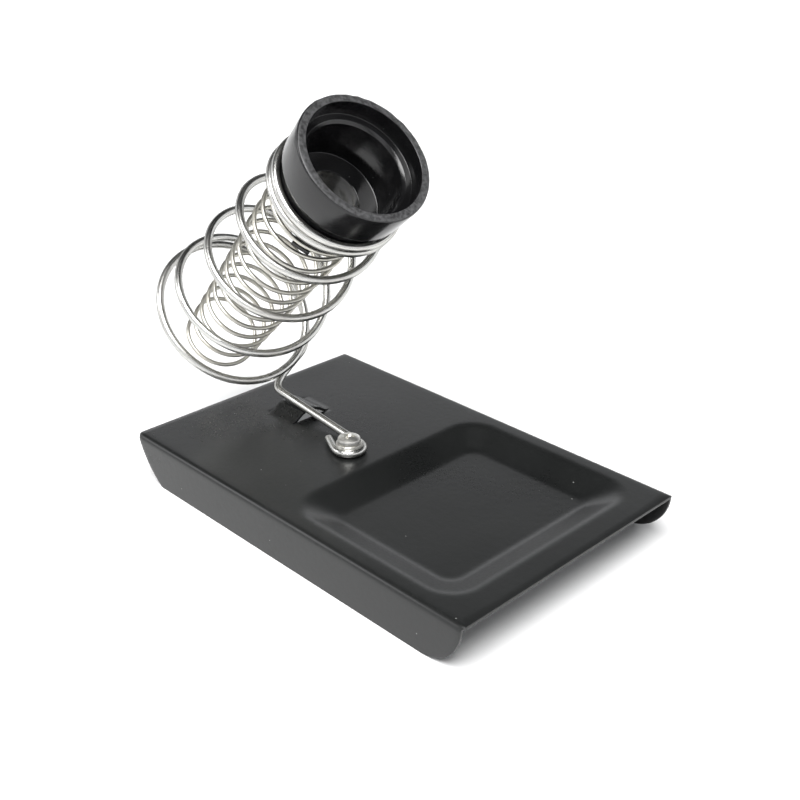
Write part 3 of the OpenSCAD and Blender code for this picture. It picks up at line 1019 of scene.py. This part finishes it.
def black_phenolic():
    """Glossy black moulding with handling smudges and a duller, paler rim face, its pale grey partly a
    painted highlight of the light from above.
    """
    material, tree, shader = new_material("black_phenolic_moulding")
    coords = add_node(tree, "ShaderNodeTexCoord").outputs["Object"]
    rim = add_node(tree, "ShaderNodeAttribute", attribute_name="rim").outputs["Fac"]
    smudge = noise_field(tree, coords, 95, 5, 0.65)
    fine = noise_field(tree, coords, 900, 3, 0.6)
    flow = noise_field(tree, coords, 160, 2, 0.5)
    dust = specks(tree, coords, 420, 0.06, 0.1)
    body = two_colours(tree, smudge, (0.004, 0.004, 0.0044), (0.008, 0.008, 0.0085))
    # Rim face: a duller ground grey that is partly a painted highlight of the light from above, mottled by
    # fine noise.
    mottled = maths(tree, "MULTIPLY", rim, remap(tree, fine, 0.35, 0.65, 0.15, 1))
    rim_grey_and_highlight = two_colours(tree, mottled, body, (0.09, 0.09, 0.092))
    tree.links.new(two_colours(tree, maths(tree, "MULTIPLY", dust, 0.5), rim_grey_and_highlight, (0.35, 0.35, 0.34)),
                   shader.inputs["Base Color"])
    gloss = remap(tree, smudge, 0.42, 0.66, 0.12, 0.26)
    tree.links.new(maths(tree, "ADD", gloss, maths(tree, "MULTIPLY", rim, 0.3)), shader.inputs["Roughness"])
    waves = bumped(tree, None, flow, 0.12, 0.0003)
    bumped(tree, shader, fine, 0.14, 0.0001, waves)
    return material


def zinc_plate(name, colour, rough_low, rough_high):
    """Zinc plated fastener: bright, slightly crystalline, with handling marks."""
    material, tree, shader = new_material(name)
    coords = add_node(tree, "ShaderNodeTexCoord").outputs["Object"]
    cloud = noise_field(tree, coords, 380, 4, 0.6)
    fine = noise_field(tree, coords, 2600, 2, 0.5)
    dark = tuple(0.55 * c for c in colour)
    tone = two_colours(tree, remap(tree, cloud, 0.4, 0.75, 0, 1), colour, dark)
    tree.links.new(tone, shader.inputs["Base Color"])
    shader.inputs["Metallic"].default_value = 1.0
    tree.links.new(remap(tree, cloud, 0.3, 0.7, rough_low, rough_high), shader.inputs["Roughness"])
    bumped(tree, shader, fine, 0.2, 0.00008)
    return material


def floor_material():
    """Pale, dull studio floor."""
    material, tree, shader = new_material("pale_floor")
    coords = add_node(tree, "ShaderNodeTexCoord").outputs["Object"]
    cloud = noise_field(tree, coords, 3, 2, 0.5)
    tone = two_colours(tree, cloud, (0.86, 0.86, 0.86), (0.9, 0.9, 0.9))
    tree.links.new(tone, shader.inputs["Base Color"])
    shader.inputs["Roughness"].default_value = 0.75
    return material


# ---------------------------------------------------------------- studio

def build_floor():
    """Plain floor that reaches far past the part."""
    half = 12.0
    mesh = bpy.data.meshes.new("floor")
    corners = [(-half, -half, 0), (half, -half, 0), (half, half, 0), (-half, half, 0)]
    mesh.from_pydata(corners, [], [(0, 1, 2, 3)])
    obj = bpy.data.objects.new("floor", mesh)
    bpy.context.scene.collection.objects.link(obj)
    mesh.materials.append(floor_material())


def key_sun():
    """Broad main light, high and a little to the right."""
    sun = bpy.data.lights.new("key_soft", "SUN")
    sun.energy = 4.6
    sun.angle = math.radians(42)
    key = bpy.data.objects.new("key_soft", sun)
    key.rotation_euler = Vector((0.24, -0.38, 0.89)).to_track_quat("Z", "Y").to_euler()
    bpy.context.scene.collection.objects.link(key)


def area_light(name, at, aim, size, power):
    """Square light at a place, turned towards a point."""
    data = bpy.data.lights.new(name, "AREA")
    data.energy = power
    data.size = size
    obj = bpy.data.objects.new(name, data)
    obj.location = at
    obj.rotation_euler = (Vector(aim) - Vector(at)).to_track_quat("-Z", "Y").to_euler()
    bpy.context.scene.collection.objects.link(obj)


def studio_sky():
    """World light: dim at the horizon, brightest just above it and dark overhead."""
    world = bpy.data.worlds.new("studio")
    world.use_nodes = True
    tree = world.node_tree
    sky = tree.nodes["Background"]
    up = add_node(tree, "ShaderNodeSeparateXYZ")
    tree.links.new(add_node(tree, "ShaderNodeTexCoord").outputs["Generated"], up.inputs[0])
    low = remap(tree, up.outputs[2], 0.02, 0.3, 0.2, 1.0)
    high = remap(tree, up.outputs[2], 0.3, 0.56, 1.6, 0.02)
    sky.inputs[0].default_value = (0.97, 0.98, 1.0, 1)
    tree.links.new(maths(tree, "MULTIPLY", low, high), sky.inputs[1])
    bpy.context.scene.world = world


def build_lights():
    """Key light, side light and sky."""
    key_sun()
    area_light("left_soft", (-0.68, -0.64, 0.6), (0, 0, 0.03), 0.35, 1.7)
    studio_sky()


def build_camera():
    """Camera at the part's front left corner, looking down on it."""
    azimuth, elevation = math.radians(45.56), math.radians(26.35)
    data = bpy.data.cameras.new("camera")
    data.lens = 52.3
    data.sensor_width = 36
    data.clip_start = 0.01
    obj = bpy.data.objects.new("camera", data)
    obj.location = Vector((257.6, -235.6, 207.7)) * MM
    ahead = Vector((-math.sin(azimuth) * math.cos(elevation),
                    math.cos(azimuth) * math.cos(elevation), -math.sin(elevation)))
    obj.rotation_euler = ahead.to_track_quat("-Z", "Y").to_euler()
    bpy.context.scene.collection.objects.link(obj)
    bpy.context.scene.camera = obj
    bpy.context.scene.view_settings.view_transform = "Standard"


def main():
    """Builds every piece, then the studio round them."""
    build_base(black_coat())
    bright = plated_wire(
        "nickel_plated_wire", (0.68, 0.68, 0.66), (0.57, 0.56, 0.53), 0.22, 0.32, 26)
    warm = plated_wire(
        "plated_guard_wire", (0.66, 0.65, 0.60), (0.55, 0.53, 0.47), 0.27, 0.38, 18)
    coil = build_wire("holder_coil_wire", holder_line(), WIRE_R, 24, 1.5)
    attach(coil, "holder", "holder_coil", bright)
    guard = build_wire("guard_coil_wire", guard_line(), GUARD_WIRE_R, 16, 1.1)
    attach(guard, "holder", "guard_coil", warm)
    build_cup(black_phenolic())
    build_screw(zinc_plate("zinc_screw", (0.78, 0.77, 0.73), 0.3, 0.45))
    build_washer(zinc_plate("zinc_washer", (0.78, 0.77, 0.73), 0.28, 0.42))
    build_lock_washer(zinc_plate("dull_spring_steel", (0.46, 0.46, 0.45), 0.3, 0.5))
    build_nut(zinc_plate("zinc_nut", (0.70, 0.68, 0.62), 0.22, 0.4))
    build_floor()
    build_lights()
    build_camera()


main()
